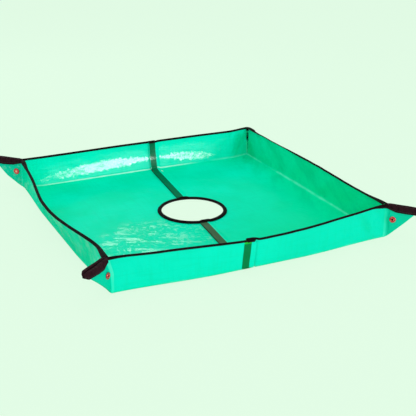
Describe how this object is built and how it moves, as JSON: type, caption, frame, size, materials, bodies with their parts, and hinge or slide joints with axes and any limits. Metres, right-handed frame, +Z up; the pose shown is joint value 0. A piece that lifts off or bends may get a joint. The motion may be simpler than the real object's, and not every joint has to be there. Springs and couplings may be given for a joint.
{
  "type": "repotting tarp",
  "caption": "Square coated sheet tray for repotting plants, its walls stood up by snapped corners, with a bound round hole and a hook-and-loop seam through it.",
  "frame": {"origin": "centre of the square base, at the middle of the round hole, on the ground", "axes": "+X to the right half, +Y to the back wall, +Z up; the seam runs front to back"},
  "size_m": [0.7096, 0.7096, 0.072],
  "materials": {
    "sheet": "turquoise green woven sheet with a glossy waterproof coating",
    "binding": "near-black woven edge binding, dull",
    "hook_tape": "dark green hook tape, dull",
    "loop_tape": "dark green loop tape, napped",
    "snap": "red copper coloured plating on pressed brass, polished"
  },
  "bodies": {
    "half_left": {"floor_left": "sheet", "hole_binding_left": "binding", "loop_tape_floor_front": "loop_tape", "loop_tape_floor_back": "loop_tape"},
    "half_right": {"floor_right": "sheet", "hole_binding_right": "binding", "hook_tape_floor_front": "hook_tape", "hook_tape_floor_back": "hook_tape"},
    "wall_left": {"wall_left": "sheet", "binding_left": "binding"},
    "wall_right": {"wall_right": "sheet", "binding_right": "binding"},
    "wall_front_left": {"wall_front_left": "sheet", "binding_front_left": "binding", "loop_tape_wall_front": "loop_tape"},
    "wall_front_right": {"wall_front_right": "sheet", "binding_front_right": "binding", "hook_tape_wall_front": "hook_tape"},
    "wall_back_left": {"wall_back_left": "sheet", "binding_back_left": "binding", "loop_tape_wall_back": "loop_tape"},
    "wall_back_right": {"wall_back_right": "sheet", "binding_back_right": "binding", "hook_tape_wall_back": "hook_tape"},
    "ear_front_left_end": {"ear_front_left_end": "sheet", "binding_ear_front_left_end": "binding", "snap_post_front_left": "snap", "snap_stud_front_left": "snap"},
    "ear_front_left_side": {"ear_front_left_side": "sheet", "binding_ear_front_left_side": "binding", "snap_cap_front_left": "snap", "snap_socket_front_left": "snap"},
    "ear_front_right_end": {"ear_front_right_end": "sheet", "binding_ear_front_right_end": "binding", "snap_post_front_right": "snap", "snap_stud_front_right": "snap"},
    "ear_front_right_side": {"ear_front_right_side": "sheet", "binding_ear_front_right_side": "binding", "snap_cap_front_right": "snap", "snap_socket_front_right": "snap"},
    "ear_back_left_end": {"ear_back_left_end": "sheet", "binding_ear_back_left_end": "binding", "snap_post_back_left": "snap", "snap_stud_back_left": "snap"},
    "ear_back_left_side": {"ear_back_left_side": "sheet", "binding_ear_back_left_side": "binding", "snap_cap_back_left": "snap", "snap_socket_back_left": "snap"},
    "ear_back_right_end": {"ear_back_right_end": "sheet", "binding_ear_back_right_end": "binding", "snap_post_back_right": "snap", "snap_stud_back_right": "snap"},
    "ear_back_right_side": {"ear_back_right_side": "sheet", "binding_ear_back_right_side": "binding", "snap_cap_back_right": "snap", "snap_socket_back_right": "snap"}
  },
  "joints": [
    {"name": "halves_part", "type": "slide", "parent": "half_left", "child": "half_right", "axis": [1, 0, 0], "range_m": [0, 0.25]},
    {"name": "fold_left", "type": "hinge", "parent": "half_left", "child": "wall_left", "pos_m": [-0.304, 0, 0], "axis": [0, -1, 0], "range_deg": [0, 64]},
    {"name": "fold_right", "type": "hinge", "parent": "half_right", "child": "wall_right", "pos_m": [0.304, 0, 0], "axis": [0, 1, 0], "range_deg": [0, 64]},
    {"name": "fold_front_left", "type": "hinge", "parent": "half_left", "child": "wall_front_left", "pos_m": [0, -0.304, 0], "axis": [1, 0, 0], "range_deg": [0, 64]},
    {"name": "fold_front_right", "type": "hinge", "parent": "half_right", "child": "wall_front_right", "pos_m": [0, -0.304, 0], "axis": [1, 0, 0], "range_deg": [0, 64]},
    {"name": "fold_back_left", "type": "hinge", "parent": "half_left", "child": "wall_back_left", "pos_m": [0, 0.304, 0], "axis": [-1, 0, 0], "range_deg": [0, 64]},
    {"name": "fold_back_right", "type": "hinge", "parent": "half_right", "child": "wall_back_right", "pos_m": [0, 0.304, 0], "axis": [-1, 0, 0], "range_deg": [0, 64]},
    {"name": "turn_ear_front_left_end", "type": "hinge", "parent": "wall_front_left", "child": "ear_front_left_end", "pos_m": [-0.30115, -0.3037, 0], "axis": [-0.0159, 0, -0.9999], "range_deg": [0, 34]},
    {"name": "turn_ear_front_left_side", "type": "hinge", "parent": "wall_left", "child": "ear_front_left_side", "pos_m": [-0.3037, -0.30115, 0], "axis": [0, 0.0159, 0.9999], "range_deg": [0, 34]},
    {"name": "turn_ear_front_right_end", "type": "hinge", "parent": "wall_front_right", "child": "ear_front_right_end", "pos_m": [0.30115, -0.3037, 0], "axis": [-0.0159, 0, 0.9999], "range_deg": [0, 34]},
    {"name": "turn_ear_front_right_side", "type": "hinge", "parent": "wall_right", "child": "ear_front_right_side", "pos_m": [0.3037, -0.30115, 0], "axis": [0, -0.0159, -0.9999], "range_deg": [0, 34]},
    {"name": "turn_ear_back_left_end", "type": "hinge", "parent": "wall_back_left", "child": "ear_back_left_end", "pos_m": [-0.30115, 0.3037, 0], "axis": [0.0159, 0, 0.9999], "range_deg": [0, 34]},
    {"name": "turn_ear_back_left_side", "type": "hinge", "parent": "wall_left", "child": "ear_back_left_side", "pos_m": [-0.3037, 0.30115, 0], "axis": [0, 0.0159, -0.9999], "range_deg": [0, 34]},
    {"name": "turn_ear_back_right_end", "type": "hinge", "parent": "wall_back_right", "child": "ear_back_right_end", "pos_m": [0.30115, 0.3037, 0], "axis": [0.0159, 0, -0.9999], "range_deg": [0, 34]},
    {"name": "turn_ear_back_right_side", "type": "hinge", "parent": "wall_right", "child": "ear_back_right_side", "pos_m": [0.3037, 0.30115, 0], "axis": [0, -0.0159, 0.9999], "range_deg": [0, 34]}
  ],
  "couplings": [
    {"joint": "fold_right", "follows": "fold_left", "ratio": 1},
    {"joint": "fold_front_left", "follows": "fold_left", "ratio": 1},
    {"joint": "fold_front_right", "follows": "fold_left", "ratio": 1},
    {"joint": "fold_back_left", "follows": "fold_left", "ratio": 1},
    {"joint": "fold_back_right", "follows": "fold_left", "ratio": 1},
    {"joint": "turn_ear_front_left_end", "follows": "fold_left", "ratio": 0.53},
    {"joint": "turn_ear_front_left_side", "follows": "fold_left", "ratio": 0.53},
    {"joint": "turn_ear_front_right_end", "follows": "fold_left", "ratio": 0.53},
    {"joint": "turn_ear_front_right_side", "follows": "fold_left", "ratio": 0.53},
    {"joint": "turn_ear_back_left_end", "follows": "fold_left", "ratio": 0.53},
    {"joint": "turn_ear_back_left_side", "follows": "fold_left", "ratio": 0.53},
    {"joint": "turn_ear_back_right_end", "follows": "fold_left", "ratio": 0.53},
    {"joint": "turn_ear_back_right_side", "follows": "fold_left", "ratio": 0.53}
  ]
}
